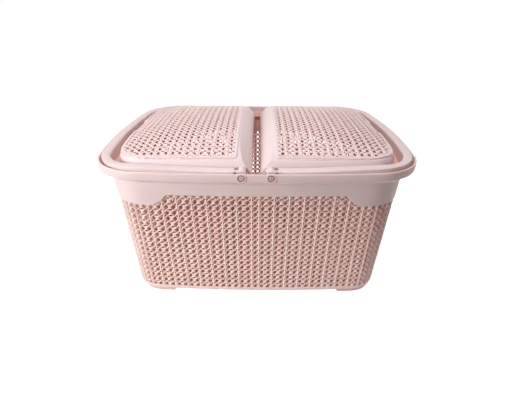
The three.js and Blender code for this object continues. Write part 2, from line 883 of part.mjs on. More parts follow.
const pinGeometry = geometryFrom(snapPin());
for (const [sideName, direction] of [['left', -1], ['right', 1]]) {
  addNode(`pivot_pin_front_${sideName}`, pinGeometry, shadedPink)
    .position.set(direction * pinOffset, 0, pinHeight);
  addNode(`pivot_pin_rear_${sideName}`, pinGeometry, shadedPink, true)
    .position.set(direction * pinOffset, 0, pinHeight);
}

export default basket;
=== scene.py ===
# Lidded picnic basket in blush pink plastic. Shapes are worked out in millimetres and made in metres.
# +Z is up, +X runs along the length and -Y is the front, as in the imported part.
import math

import bmesh
import bpy
import numpy as np
from mathutils import Matrix, Vector


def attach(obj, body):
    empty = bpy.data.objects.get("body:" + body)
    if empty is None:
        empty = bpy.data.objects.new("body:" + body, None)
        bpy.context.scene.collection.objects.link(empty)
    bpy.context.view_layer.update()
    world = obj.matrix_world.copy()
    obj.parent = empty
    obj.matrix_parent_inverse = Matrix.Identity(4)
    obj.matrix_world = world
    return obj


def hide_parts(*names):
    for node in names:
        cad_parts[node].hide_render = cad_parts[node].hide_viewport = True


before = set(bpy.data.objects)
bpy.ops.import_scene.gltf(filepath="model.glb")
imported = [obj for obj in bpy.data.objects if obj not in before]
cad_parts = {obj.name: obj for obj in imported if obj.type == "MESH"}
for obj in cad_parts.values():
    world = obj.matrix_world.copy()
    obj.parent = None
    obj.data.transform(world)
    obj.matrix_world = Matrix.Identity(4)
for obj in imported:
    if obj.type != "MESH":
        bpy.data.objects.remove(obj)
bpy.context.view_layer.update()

MM = 0.001

# Rim, seen from above
RIM_LENGTH = 420.0
RIM_WIDTH = 336.8
CORNER_RADIUS = 68.0
LONG_BOW = 5.1
SHORT_BOW = 5.8

# Rim, in section
RIM_TOP = 199.4
LIP_BOTTOM = 188.6
LIP_THICKNESS = 2.5
LIP_DRAFT = 0.45
SLOPE_INSET = 7.45
LEDGE_TOP = 186.0
LEDGE_BOTTOM = 184.0
LEDGE_WIDTH = 26.5

# Tub wall
WALL_INSET = 15.3
WALL_TAPER = math.tan(math.radians(4.63))
WALL_THICKNESS = 2.7
BAND_STEP = 1.0
PLATE_DROP = 7.0
PLATE_INSET = 2.9
PLATE_BACK = 4.4
BAND_BOTTOM = 163.6
BAND_DROP = 15.6
BAND_DROP_START = 26.0
BAND_DROP_END = 8.0
BAND_RINGS = (171.0, 178.0)
BASE_BAND_TOP = 12.2
BASE_ROUND = 6.0
BASE_ROUND_STEPS = 6
FLOOR_BOTTOM = 4.0
FLOOR_TOP = 6.0

# Feet
FOOT_INSET = 3.0
FOOT_WIDTH = 8.4
FOOT_REACH = 20.7
FOOT_SLOPE = 3.0
FOOT_STEPS = 40

# Pins and what holds them
PIN_X = 17.2
PIN_Z = 194.4
BORE_RADIUS = 3.6
COLLAR_RADIUS = 5.9
COLLAR_HEIGHT = 0.5
COUNTERBORE_RADIUS = 4.3
COUNTERBORE_DEPTH = 2.0
COLLAR_SLAB = 9.0
BORE_START = 6.0
PIN_RADIUS = 3.3
PIN_HEAD_RADIUS = 4.2
PIN_CHAMFER = 0.3
PIN_HEAD_INNER = 139.4
PIN_HEAD_OUTER = 141.0
PIN_BARB_RADIUS = 3.7
PIN_BARB_BACK = 167.1
PIN_TIP_RADIUS = 2.9
PIN_TIP = 168.75
SLIT_WIDTH = 0.45
SLIT_DEPTH = 8.0
RECESS_HALF = 22.46
RECESS_START = 100.0
RECESS_END = 146.1
RECESS_LOW = 180.0
RECESS_HIGH = 190.0

# Handles
HANDLE_OUTER = 5.8
HANDLE_INNER = 21.5
HANDLE_NARROW = 5.0
NARROW_START = 0.15
NARROW_END = 0.7
HANDLE_STEPS = (16, 22, 12)
HANDLE_WALL = 2.2
HANDLE_SKIRT = 8.0
HANDLE_ROUND = 3.2
HANDLE_EDGE = 0.8
HANDLE_RISE_SIDE = 3.2
HANDLE_RISE_PIN = 0.6
RISE_START = 42.0
RISE_END = 150.0
ARM_END = 9.0
ARM_PLATE = 2.0
EYE_RADIUS = 6.1
EYE_OUTER = 162.6
EYE_INNER = 156.3
DIMPLE_RADIUS = 1.5
DIMPLE_OFFSET = 7.0
DIMPLE_DROP = 1.6
DIMPLE_DEPTH = 5.0

# Lids
SEAT = 186.3
LID_INSET = 24.5
LID_WALL = 2.0
SKIRT_TOP = 198.4
SHOULDER_INSET = 28.0
SHOULDER_Z = 204.8
SHOULDER_END = 140.4
SHOULDER_SIDE = 182.0
SHOULDER_ROUND = 1.6
SIDE_DRAW = 2.5
SIDE_DRAW_START = 130.0
DOME_RISE = 15.8
DOME_RUN = 121.0
DOME_SIDE_POWER = 2.62
DOME_END_POWER = 2.7
DOME_SPREAD = 1.4
INNER_EDGE = 4.8
CREASE_REACH = 18.0
CREASE_LENGTH = 153.0
CREASE_SQUARENESS = 3.2
FALL_MIDDLE = 22.0
FALL_END = 14.4
FALL_CURVE = 0.45
KNUCKLE_RADIUS = 5.2
KNUCKLE_OUTER = 156.0
KNUCKLE_ROOT = 1.4
NOTCH_HALF = 20.0
NOTCH_DEPTH = 2.0
NOTCH_BORDER = 6.0
NOTCH_FLARE = math.tan(math.radians(47))
PANEL_HEIGHT = 0.9
PANEL_INSET = 31.0
PANEL_END = 134.5
PANEL_INNER = 24.2
PANEL_CORNER = 4.0
PANEL_RING = 3.0
PANEL_SLOPE = 1.1

# Knit openwork
WALL_ROW_TOP = 162.4
WALL_ROW = 8.73
WALL_ROWS = 18
WALL_HALF_COLUMNS = 66.5
WALL_REAR_COLUMN = 67
WALL_FRONT_COLUMNS = 40
WALL_PARTS = {"tub_knit_right": (-66, 0), "tub_knit_left": (0, 68)}
WALL_SEAM = 0.9
LID_COLUMN_START = 32.2
LID_COLUMN = 8.79
LID_COLUMNS = 18
LID_ROW = 10.04
LID_ROWS = 26
LID_RELIEF = 0.3
LID_CREST = 0.5
KNIT_BACK = -2.7
COVERED = 2.5
SINK = 1.1
SINK_REACH = 1.5
SLOT_ARCH = 0.05
SLOT_REACH = 0.28

# Smooth shading up to these angles, in degrees
PLAIN_SHARP = 38.0
KNIT_SHARP = 42.0

# Depth behind the outer surface at which the painted shade starts and is full
WALL_RECESS = (1.2, 2.4)
LID_KNIT_RECESS = (0.35, 0.8)
LID_FRAME_RECESS = (1.2, 1.9)
TIP_RECESS = (0.35, 1.0)
TROUGH_START = 2.0
RECESS_MARGIN = 0.5
BORDER_MARGIN = 2.0

# Further than any surface that it has to pass
FAR = 60.0
HALF_LENGTH = RIM_LENGTH / 2
HALF_WIDTH = RIM_WIDTH / 2
CORNER_X = HALF_LENGTH - CORNER_RADIUS - SHORT_BOW
CORNER_Y = HALF_WIDTH - CORNER_RADIUS - LONG_BOW


def side_arc(half_chord, bow):
    return (half_chord ** 2 + bow ** 2) / (2 * bow)


LONG_RADIUS = side_arc(CORNER_X, LONG_BOW) + CORNER_RADIUS
SHORT_RADIUS = side_arc(CORNER_Y, SHORT_BOW) + CORNER_RADIUS
LONG_ANGLE = math.asin(CORNER_X / (LONG_RADIUS - CORNER_RADIUS))
SHORT_ANGLE = math.asin(CORNER_Y / (SHORT_RADIUS - CORNER_RADIUS))
CORNER_ANGLE = math.pi / 2 - LONG_ANGLE - SHORT_ANGLE


def quarter_lengths(inset):
    """Lengths of the long side's half, the corner and the short side's half, moved in by inset."""
    return (
        (LONG_RADIUS - inset) * LONG_ANGLE,
        (CORNER_RADIUS - inset) * CORNER_ANGLE,
        (SHORT_RADIUS - inset) * SHORT_ANGLE,
    )


def on_outline(s, inset):
    """Point and outward normal at distance s along the outline from the front middle, to the left."""
    s, inset = np.broadcast_arrays(np.asarray(s, float), np.asarray(inset, float))
    long_half, corner, short_half = quarter_lengths(inset)
    quarter = long_half + corner + short_half
    s = np.mod(s, 4 * quarter)
    turned = s > 2 * quarter
    s = np.where(turned, 4 * quarter - s, s)
    rear = s > quarter
    s = np.where(rear, 2 * quarter - s, s)
    front_angle = s / (LONG_RADIUS - inset)
    corner_angle = LONG_ANGLE + (s - long_half) / (CORNER_RADIUS - inset)
    side_angle = math.pi / 2 - (quarter - s) / (SHORT_RADIUS - inset)
    on_long = s <= long_half
    on_side = s >= long_half + corner
    angle = np.where(on_long, front_angle, np.where(on_side, side_angle, corner_angle))
    nx, ny = -np.sin(angle), -np.cos(angle)
    radius = np.where(on_long, LONG_RADIUS, np.where(on_side, SHORT_RADIUS, CORNER_RADIUS)) - inset
    cx = np.where(on_long, 0, np.where(on_side, SHORT_RADIUS - HALF_LENGTH, -CORNER_X))
    cy = np.where(on_long, LONG_RADIUS - HALF_WIDTH, np.where(on_side, 0, -CORNER_Y))
    x, y = cx + radius * nx, cy + radius * ny
    y, ny = np.where(rear, -y, y), np.where(rear, -ny, ny)
    x, nx = np.where(turned, -x, x), np.where(turned, -nx, nx)
    return x, y, nx, ny


def rim_inset(x, y):
    """How far a point lies inside the rim's outline."""
    ax, ay = np.abs(x), np.abs(y)
    in_corner = (ax > CORNER_X) & (ay > CORNER_Y)
    corner = CORNER_RADIUS - np.hypot(ax - CORNER_X, ay - CORNER_Y)
    long_side = LONG_RADIUS - np.hypot(ax, ay + LONG_RADIUS - HALF_WIDTH)
    short_side = SHORT_RADIUS - np.hypot(ax + SHORT_RADIUS - HALF_LENGTH, ay)
    return np.where(in_corner, corner, np.minimum(long_side, short_side))


def stations(long_steps=14, corner_steps=18, short_steps=10, start=0.0):
    """x, y, nx, ny round the left half of the rim, from distance start left of the front middle."""
    marks = np.concatenate([[0], np.cumsum(quarter_lengths(0.0))])
    parts = [
        np.linspace(max(start, 0), marks[1], long_steps, endpoint=False),
        np.linspace(marks[1], marks[2], corner_steps, endpoint=False),
        np.linspace(marks[2], marks[3], short_steps, endpoint=False),
    ]
    quarter = np.concatenate(parts)
    s = np.concatenate([quarter, [marks[3]], (2 * marks[3] - quarter)[::-1]])
    return np.stack(on_outline(s, 0.0), axis=1)


def whole_rim():
    left = stations()
    right = left[1:-1][::-1] * np.array([-1, 1, -1, 1])
    return np.concatenate([left, right])


RIM = whole_rim()


def wall_inset(z):
    return WALL_INSET + (LEDGE_BOTTOM - z) * WALL_TAPER


def smooth_step(value, low, high):
    share = np.clip((value - low) / (high - low), 0, 1)
    return share * share * (3 - 2 * share)


def band_edge(x, y):
    """Height of the plain band's lower edge, which hangs down at the corners."""
    along_x = smooth_step(np.abs(x), CORNER_X - BAND_DROP_START, CORNER_X - BAND_DROP_END)
    along_y = smooth_step(np.abs(y), CORNER_Y - BAND_DROP_START, CORNER_Y - BAND_DROP_END)
    return BAND_BOTTOM - BAND_DROP * along_x * along_y


# Meshes

def mesh_object(name, points, faces, closed=True):
    mesh = bpy.data.meshes.new(name)
    mesh.from_pydata([tuple(p) for p in points], [], [tuple(f) for f in faces])
    if closed:
        grid = bmesh.new()
        grid.from_mesh(mesh)
        bmesh.ops.recalc_face_normals(grid, faces=grid.faces)
        grid.to_mesh(mesh)
        grid.free()
    mesh.validate()
    obj = bpy.data.objects.new(name, mesh)
    bpy.context.scene.collection.objects.link(obj)
    return obj


def mark_painted_shade(obj, depth, low, high):
    """Keeps how far each point lies behind the outer surface, as the share of painted shade that darkens
    hollows, troughs and insides.
    """
    count = len(obj.data.vertices)
    points = np.empty(3 * count)
    obj.data.vertices.foreach_get("co", points)
    points = points.reshape(-1, 3)
    share = smooth_step(depth(points[:, 0], points[:, 1], points[:, 2]), low, high)
    layer = obj.data.attributes.new("recess", "FLOAT", "POINT")
    layer.data.foreach_set("value", share.astype(np.float32))
    return obj


def behind_wall(x, y, z):
    inside = rim_inset(x, y)
    from_pin = np.hypot(np.abs(x) - PIN_X, z - PIN_Z)
    # Painted shade: full in the pins' counterbore pockets, growing inwards across the trough and behind
    # the wall's outer face.
    in_pocket = (from_pin < COUNTERBORE_RADIUS + 0.1) & (inside > 0)
    trough = np.where(in_pocket, FAR, inside - TROUGH_START)
    wall = np.where(z < FLOOR_BOTTOM + RECESS_MARGIN, 0, inside - wall_inset(z))
    return np.where(z > LEDGE_BOTTOM + RECESS_MARGIN, trough, wall)


def behind_lid(x, y, z):
    at_border = rim_inset(x, y) < SHOULDER_INSET + BORDER_MARGIN
    past_crease = -x < crease_at(y) + RECESS_MARGIN
    # Painted shade on the lid's hollows and underside, growing with depth under the panel's top; none at
    # the border or past the crease.
    return np.where(at_border | past_crease, 0, dome_height(-x, y) + PANEL_HEIGHT - z)


def behind_tip(x, y, z):
    # Painted shade on the pin's tip, growing with its depth in the counterbore.
    return PIN_TIP - np.abs(y)


def finished(obj, sharp=PLAIN_SHARP):
    """Scales from millimetres to metres and shades smooth up to the sharp angle."""
    obj.data.transform(Matrix.Scale(MM, 4))
    obj.data.shade_smooth()
    obj.data.set_sharp_from_angle(angle=math.radians(sharp))
    return obj


def combine(base, other, how):
    modifier = base.modifiers.new("combine", "BOOLEAN")
    modifier.operation = how
    modifier.object = other
    modifier.solver = "MANIFOLD"
    bpy.context.view_layer.update()
    evaluated = base.evaluated_get(bpy.context.evaluated_depsgraph_get())
    mesh = bpy.data.meshes.new_from_object(evaluated)
    base.modifiers.clear()
    base.data = mesh
    bpy.data.objects.remove(other)
    return base


def united(first, *others):
    for other in others:
        combine(first, other, "UNION")
    return first


def less(first, *others):
    for other in others:
        combine(first, other, "DIFFERENCE")
    return first


def within(first, other):
    return combine(first, other, "INTERSECT")


def loft(name, rings, joined=False):
    """Rings of points joined one to the next; joined makes the last ring meet the first."""
    count = len(rings[0])
    faces = []
    pairs = len(rings) if joined else len(rings) - 1
    for ring in range(pairs):
        low, high = ring * count, (ring + 1) % len(rings) * count
        for i in range(count):
            after = (i + 1) % count
            faces.append((low + i, low + after, high + after, high + i))
    if not joined:
        faces.append(tuple(range(count)))
        faces.append(tuple(range((len(rings) - 1) * count, len(rings) * count)))
    return mesh_object(name, np.concatenate(rings), faces)


def rim_rings(levels):
    """Rings round the rim, one for each inset and height.
    A height may be worked out from x and y, and an inset from the height."""
    rings = []
    for inset, z in levels:
        level = z(RIM[:, 0], RIM[:, 1]) if callable(z) else np.full(len(RIM), float(z))
        depth = inset(level) if callable(inset) else np.full(len(RIM), float(inset))
        rings.append(np.stack([
            RIM[:, 0] - depth * RIM[:, 2], RIM[:, 1] - depth * RIM[:, 3], level,
        ], axis=1))
    return rings


def body_under(name, grid, bottom):
    """A body under a grid of surface points, down to a flat bottom."""
    rows, columns = grid.shape[:2]
    top = grid.reshape(-1, 3)
    low = top.copy()
    low[:, 2] = bottom
    shift = len(top)
    faces = []
    for r in range(rows - 1):
        for c in range(columns - 1):
            a, b = r * columns + c, r * columns + c + 1
            d, e = a + columns, b + columns
            faces.append((a, b, e, d))
            faces.append((shift + a, shift + d, shift + e, shift + b))
    edge = list(range(columns))
    edge += [r * columns + columns - 1 for r in range(1, rows)]
    edge += [(rows - 1) * columns + c for c in range(columns - 2, -1, -1)]
    edge += [r * columns for r in range(rows - 2, 0, -1)]
    for k, a in enumerate(edge):
        b = edge[(k + 1) % len(edge)]
        faces.append((a, b, shift + b, shift + a))
    return mesh_object(name, np.concatenate([top, low]), faces)


def prism(name, outline, low, high):
    outline = np.asarray(outline, float)
    levels = [np.full((len(outline), 1), z) for z in (low, high)]
    return loft(name, [np.hstack([outline, level]) for level in levels])


def box(name, low, high):
    outline = [(low[0], low[1]), (high[0], low[1]), (high[0], high[1]), (low[0], high[1])]
    return prism(name, outline, low[2], high[2])


def cylinder(name, radius, inner, outer, side, segments=48, x=-PIN_X, z=PIN_Z):
    """A cylinder along Y between two distances from the middle."""
    turn = np.linspace(0, 2 * math.pi, segments, endpoint=False)
    circle = np.stack([x + radius * np.cos(turn), 0 * turn, z + radius * np.sin(turn)], axis=1)
    return loft(name, [circle + (0, side * inner, 0), circle + (0, side * outer, 0)])


def arc(centre, radius, start, end, steps):
    turn = np.radians(np.linspace(start, end, steps + 1))
    return [(centre[0] + radius * math.cos(t), centre[1] + radius * math.sin(t)) for t in turn]


# Knit openwork: each hole sits in a diamond of strands between two edges, a rib or a bead.
# A quarter of that cell is listed from the hole's middle out to the edge (0.5) and the half row (0.5).
# Each point is its share across a column, its share along a row and its height in millimetres.
STRAND = {
    "H0": (0, 0.31, -2.2), "H1": (0.155, 0.2, -2.2), "H2": (0.225, 0, -2.2),
    "X": (0, 0.5, -0.2), "T": (0.26, 0.27, -0.25),
}
RIB = {
    **STRAND,
    "C": (0.375, 0, -0.5), "R0": (0.5, 0, 0.05), "R1": (0.5, 0.32, 0.05), "R2": (0.5, 0.5, 0.05),
    "P0": (0.435, 0, -0.3), "P1": (0.435, 0.32, -0.3), "P2": (0.435, 0.5, -0.3),
    "Q1": (0.41, 0.32, -1.1), "Q2": (0.41, 0.5, -1.2),
    "D0": (0.38, 0.5, -2.0), "D1": (0.365, 0.34, -1.9), "D2": (0.2, 0.5, -1.9),
}
RIB_FRONT = [
    ("R1", "R2", "P2", "P1"), ("R0", "R1", "P1", "P0"), ("P1", "P2", "Q2", "Q1"),
    ("Q1", "Q2", "D0", "D1"), ("T", "D1", "D2", "X"), ("C", "Q1", "D1", "T"), ("P0", "P1", "Q1", "C"),
    ("X", "T", "H1", "H0"), ("T", "C", "H2", "H1"),
]
RIB_HOLES = [("H0", "H1"), ("H1", "H2"), ("D2", "D1"), ("D1", "D0")]
RIB_BACK = [("R2", "D0", "D1", "R0"), ("D1", "D2", "X", "H0", "H1"), ("R0", "D1", "H1", "H2")]
BEAD = {
    **STRAND,
    "S0": (0.22, 0.5, -2.0), "S1": (0.34, 0.41, -1.9), "S2": (0.5, 0.375, -1.8),
    "M": (0.5, 0.25, -0.6), "B": (0.5, 0, 0.9), "B1": (0.37, 0, -0.6),
}
BEAD_FRONT = [
    ("X", "S0", "S1", "T"), ("T", "S1", "S2", "M"), ("T", "M", "B", "B1"),
    ("X", "T", "H1", "H0"), ("T", "B1", "H2", "H1"),
]
BEAD_HOLES = [("H0", "H1"), ("H1", "H2"), ("S0", "S1"), ("S1", "S2")]
BEAD_BACK = [("S0", "S1", "H1", "H0", "X"), ("S1", "S2", "B", "H2", "H1")]


def quarter_parts(kind):
    if kind == "rib":
        return RIB, RIB_FRONT, RIB_HOLES, RIB_BACK
    return BEAD, BEAD_FRONT, BEAD_HOLES, BEAD_BACK


def slot_arch(across, along):
    """How far a slot's middle is raised over its ends."""
    near = max(0.0, 1 - ((0.5 - across) / SLOT_REACH) ** 2)
    return SLOT_ARCH * near * (1 - math.cos(2 * math.pi * along)) / 2


def knit_cell(column, row, edge_kind):
    """Corners (column, row, height, side) and faces of one cell, as its four quarters."""
    corners, faces = [], []
    for sx in (-1, 1):
        table, front, holes, back = quarter_parts(edge_kind(column + sx / 2))
        for sy in (-1, 1):
            start = len(corners)
            order = {key: start + k for k, key in enumerate(table)}
            shift = len(table)
            outline = []
            for across, along, height in table.values():
                arch = slot_arch(across, along) if table is BEAD else 0.0
                outline.append((column + sx * across, row + sy * along - arch, height))
            corners += [(x, y, height, 0) for x, y, height in outline]
            corners += [(x, y, KNIT_BACK, 1) for x, y, _ in outline]
            faces += [[order[k] for k in face] for face in front]
            faces += [[order[k] + shift for k in face] for face in back]
            faces += [[order[a], order[b], order[b] + shift, order[a] + shift] for a, b in holes]
    return corners, faces


def knit_mesh(name, cells, edge_kind, place, covered):
    """cells are (column, row); place maps columns, rows and heights to points in millimetres.
    covered says how far a point lies under the plain border, where strands sink and faces end."""
    corners, faces = [], []
    for column, row in cells:
        cell_corners, cell_faces = knit_cell(column, row, edge_kind)
        faces += [[len(corners) + k for k in face] for face in cell_faces]
        corners += cell_corners
    corners = np.array(corners)
    keys = np.round(corners[:, [0, 1, 3]] * 1000).astype(np.int64)
    _, first, index = np.unique(keys, axis=0, return_index=True, return_inverse=True)
    index = index.reshape(-1)
    corners = corners[first]
    under = covered(corners[:, 0], corners[:, 1])
    sunk = np.maximum(corners[:, 2] - SINK * smooth_step(under, 0, SINK_REACH), KNIT_BACK + 0.1)
    height = np.where(corners[:, 3] > 0.5, corners[:, 2], sunk)
    points = place(corners[:, 0], corners[:, 1], height)
    kept = []
    for face in faces:
        welded = [int(index[k]) for k in face]
        if under[welded].min() < COVERED:
            kept.append(welded)
    used = np.unique(np.concatenate([np.array(f) for f in kept]))
    renumber = np.full(len(points), -1)
    renumber[used] = np.arange(len(used))
    kept = [[int(renumber[k]) for k in f] for f in kept]
    return mesh_object(name, points[used], kept)


# Knit on the tub's wall

REFERENCE = wall_inset(WALL_ROW_TOP)


def evened(column):
    """The rear's columns drawn together a little, so that a column of holes is in its middle."""
    column = np.where(column > WALL_REAR_COLUMN, column - 2 * WALL_REAR_COLUMN, column)
    beyond = np.maximum(np.abs(column) - WALL_FRONT_COLUMNS, 0)
    room = (WALL_HALF_COLUMNS - WALL_FRONT_COLUMNS) / (WALL_REAR_COLUMN - WALL_FRONT_COLUMNS)
    return np.sign(column) * (np.minimum(np.abs(column), WALL_FRONT_COLUMNS) + beyond * room)


def wall_place(column, row, height):
    """Points on the wall, whose outline is shorter lower down. Each column goes down halfway
    between keeping its share of the quarter's outline and keeping its share of its own side."""
    column = evened(column)
    z = WALL_ROW_TOP - WALL_ROW * row
    inset = wall_inset(z)
    quarter_top = sum(quarter_lengths(REFERENCE))
    pitch = 2 * quarter_top / WALL_HALF_COLUMNS
    quarter_here = sum(quarter_lengths(inset))
    s_top = np.abs(column) * pitch
    folded = np.where(s_top > quarter_top, 2 * quarter_top - s_top, s_top)
    shared = folded * quarter_here / quarter_top
    marks = np.concatenate([[0], np.cumsum(quarter_lengths(REFERENCE))])
    lengths = quarter_lengths(inset)
    starts = [0 * lengths[0], lengths[0], lengths[0] + lengths[1]]
    parallel = np.zeros(len(folded))
    for k in range(3):
        size = marks[k + 1] - marks[k]
        inside = (folded >= marks[k]) & (folded <= marks[k + 1] + 1e-6)
        parallel = np.where(inside, starts[k] + (folded - marks[k]) / size * lengths[k], parallel)
    s = (shared + parallel) / 2
    s = np.where(s_top > quarter_top, 2 * quarter_here - s, s)
    s = np.where(column < 0, -s, s) + WALL_SEAM
    x, y, nx, ny = on_outline(s, inset)
    return np.stack([x + height * nx, y + height * ny, z + height * WALL_TAPER], axis=1)


def wall_covered(column, row):
    points = wall_place(column, row, np.zeros(len(column)))
    above = points[:, 2] - band_edge(points[:, 0], points[:, 1])
    below = BASE_BAND_TOP - points[:, 2]
    return np.maximum(above, below)


def wall_edge_kind(edge):
    return "rib" if round(abs(edge) - 0.5) % 2 == 0 else "bead"


def knit_walls():
    walls = []
    for name, columns in WALL_PARTS.items():
        cells = [(column, row) for column in range(*columns) for row in range(WALL_ROWS)]
        wall = knit_mesh(name, cells, wall_edge_kind, wall_place, wall_covered)
        walls.append(finished(mark_painted_shade(wall, behind_wall, *WALL_RECESS), KNIT_SHARP))
    return walls


# Tub without its knit

def lip_profile():
    round_radius = LIP_THICKNESS / 2
    top = RIM_TOP - round_radius
    outer = arc((round_radius, top), round_radius, 180, 90, 4)
    inner = arc((round_radius, top), round_radius, 90, 0, 4)[1:]
    return outer + inner


def tub_rim():
    def band(z):
        return wall_inset(z) - BAND_STEP

    def inner(z):
        return wall_inset(z) + WALL_THICKNESS

    # From the plate behind the knit out over the band, up to the lip and back down inside
    levels = [
        (lambda z: wall_inset(z) + PLATE_BACK, lambda x, y: band_edge(x, y) - PLATE_DROP),
        (lambda z: wall_inset(z) + PLATE_INSET, lambda x, y: band_edge(x, y) - PLATE_DROP),
        (lambda z: wall_inset(z) + PLATE_INSET, lambda x, y: band_edge(x, y) - 0.6),
        (lambda z: wall_inset(z) + 0.6, lambda x, y: band_edge(x, y) - 0.3),
        (lambda z: band(z) + 0.35, lambda x, y: band_edge(x, y) - 0.1),
        (lambda z: band(z) + 0.05, lambda x, y: band_edge(x, y) + 0.3),
        (band, lambda x, y: band_edge(x, y) + 0.9),
        *((band, z) for z in BAND_RINGS),
        (band, LEDGE_BOTTOM - 2.5),
        (lambda z: band(z) - 0.4, LEDGE_BOTTOM - 1.0),
        (lambda z: band(z) - 1.6, LEDGE_BOTTOM - 0.1),
        (SLOPE_INSET + 1.0, LEDGE_BOTTOM),
        (SLOPE_INSET - 0.6, LEDGE_BOTTOM + 0.3),
        (LIP_DRAFT + 1.2, LIP_BOTTOM - 0.6),
        (LIP_DRAFT + 0.35, LIP_BOTTOM - 0.05),
        (LIP_DRAFT, LIP_BOTTOM + 0.5),
    ]
    levels += lip_profile()
    levels += [
        (LIP_THICKNESS + LIP_DRAFT, LIP_BOTTOM + 1.6),
        (LIP_THICKNESS + LIP_DRAFT + 0.5, LIP_BOTTOM + 0.6),
        (SLOPE_INSET - 0.6, LEDGE_TOP + 0.35),
        (SLOPE_INSET + 0.8, LEDGE_TOP),
        (LEDGE_WIDTH - 0.5, LEDGE_TOP),
        (LEDGE_WIDTH, LEDGE_TOP - 0.5),
        (LEDGE_WIDTH, LEDGE_BOTTOM),
        (lambda z: inner(z) + 1.5, LEDGE_BOTTOM),
        (inner, LEDGE_BOTTOM - 1.5),
    ]
    return loft("tub_rim", rim_rings(levels), joined=True)


def cut_pin_holes(body):
    places = [(x, side) for x in (-PIN_X, PIN_X) for side in (-1, 1)]
    face = HALF_WIDTH + COLLAR_HEIGHT
    reach = HALF_WIDTH + COLLAR_SLAB
    for x, side in places:
        collar = cylinder("collar", COLLAR_RADIUS, HALF_WIDTH - LIP_THICKNESS, face, side, x=x)
        low = (x - COLLAR_SLAB, -reach, LIP_BOTTOM + 0.3)
        high = (x + COLLAR_SLAB, reach, RIM_TOP - 0.1)
        united(body, within(collar, box("slab", low, high)))
    for x, side in places:
        bore = cylinder("bore", BORE_RADIUS, HALF_WIDTH - BORE_START, face + 1, side, x=x)
        wide = cylinder("wide", COUNTERBORE_RADIUS, face - COUNTERBORE_DEPTH, face + 1, side, x=x)
        less(body, bore, wide)
    for side in (-1, 1):
        ends = sorted((side * RECESS_START, side * RECESS_END))
        low = (-RECESS_HALF, ends[0], RECESS_LOW)
        less(body, box("recess", low, (RECESS_HALF, ends[1], RECESS_HIGH)))
    return body


def tub_base():
    def inner(z):
        return wall_inset(z) + WALL_THICKNESS

    levels = [
        (lambda z: inner(z) + 4.0, FLOOR_TOP),
        (lambda z: inner(z) + 2.0, FLOOR_TOP + 0.4),
        (lambda z: inner(z) + 0.5, FLOOR_TOP + 1.8),
        (inner, FLOOR_TOP + 4.0),
        (inner, BASE_BAND_TOP),
        (lambda z: wall_inset(z) + 0.5, BASE_BAND_TOP),
        (wall_inset, BASE_BAND_TOP - 0.5),
    ]
    for step in range(BASE_ROUND_STEPS + 1):
        turn = math.pi / 2 * step / BASE_ROUND_STEPS
        out = BASE_ROUND * (1 - math.cos(turn))
        z = FLOOR_BOTTOM + BASE_ROUND * (1 - math.sin(turn))
        levels.append((lambda level, out=out: wall_inset(level) + out, z))
    return loft("tub_base", rim_rings(levels))


def foot(name, flip_x, flip_y):
    marks = np.cumsum(quarter_lengths(wall_inset(0.0) + FOOT_INSET))
    start = CORNER_X - FOOT_REACH
    end = marks[2] - (CORNER_Y - FOOT_REACH)
    top = FLOOR_BOTTOM + 1
    rings = []
    for s in np.linspace(start, end, FOOT_STEPS):
        ring = []
        for extra, z in ((0, 0.0), (FOOT_WIDTH, 0.0), (FOOT_WIDTH, top), (0, top)):
            at = min(max(s, start + FOOT_SLOPE), end - FOOT_SLOPE) if z == 0 else s
            inset = wall_inset(z) + FOOT_INSET
            x, y, nx, ny = on_outline(at, inset)
            ring.append((flip_x * float(x - extra * nx), flip_y * float(y - extra * ny), z))
        rings.append(np.array(ring))
    return loft(name, rings)


def merged(name, objects):
    points, faces = [], []
    for obj in objects:
        start = len(points)
        points += [v.co.copy() for v in obj.data.vertices]
        faces += [[start + k for k in p.vertices] for p in obj.data.polygons]
        bpy.data.objects.remove(obj)
    return mesh_object(name, points, faces, closed=False)


# Lids: the left one, from which the right one is turned

def crease_at(y):
    share = np.minimum(1, np.abs(y) / CREASE_LENGTH)
    return INNER_EDGE + CREASE_REACH * (1 - share ** CREASE_SQUARENESS) ** (1 / CREASE_SQUARENESS)


def dome_height(distance, y):
    along = np.maximum(0, (distance - SHOULDER_SIDE + DOME_RUN) / DOME_RUN)
    to_end = np.abs(y) / SHOULDER_END
    return SHOULDER_Z + DOME_RISE * (1 - to_end ** DOME_END_POWER) * (1 - along ** DOME_SIDE_POWER)


def lid_point(y, share):
    """Share runs from -1 at the outer edge to 0 at the crease and 1 at the inner edge."""
    crease = crease_at(y)
    distance = HALF_LENGTH + (crease - HALF_LENGTH) * np.clip(share + 1, 0, 1) ** DOME_SPREAD
    end = np.minimum(1, np.abs(y) / SHOULDER_END)
    curve = FALL_CURVE + (1 - FALL_CURVE) * end ** 4
    depth = FALL_MIDDLE + (FALL_END - FALL_MIDDLE) * end ** 2
    drop = np.clip(share, 0, 1)
    inwards = 1 - (1 - drop) ** (1 / curve)
    fallen = crease + (INNER_EDGE - crease) * inwards
    x = np.where(share < 0, distance, fallen)
    z = np.where(share < 0, dome_height(distance, y), dome_height(crease, y) - depth * drop)
    return np.stack(np.broadcast_arrays(-x, y, z), axis=-1)


def lid_grid(depth, rows=56, dome=34, fall=14):
    y = HALF_WIDTH * np.linspace(-1, 1, rows + 1)[:, None]
    share = np.linspace(-1, 0, dome, endpoint=False)
    share = np.concatenate([share, np.linspace(0, 1, fall + 1)])[None, :]
    step = 1e-4
    at = lid_point(y, share)
    ahead = np.minimum(share + step, 1.0)
    back = np.maximum(share - step, -1.0)
    along = lid_point(y, ahead) - lid_point(y, back)
    across = lid_point(y + step, share) - lid_point(y - step, share)
    normal = np.cross(along, across)
    normal /= np.linalg.norm(normal, axis=2, keepdims=True)
    return at - depth * normal


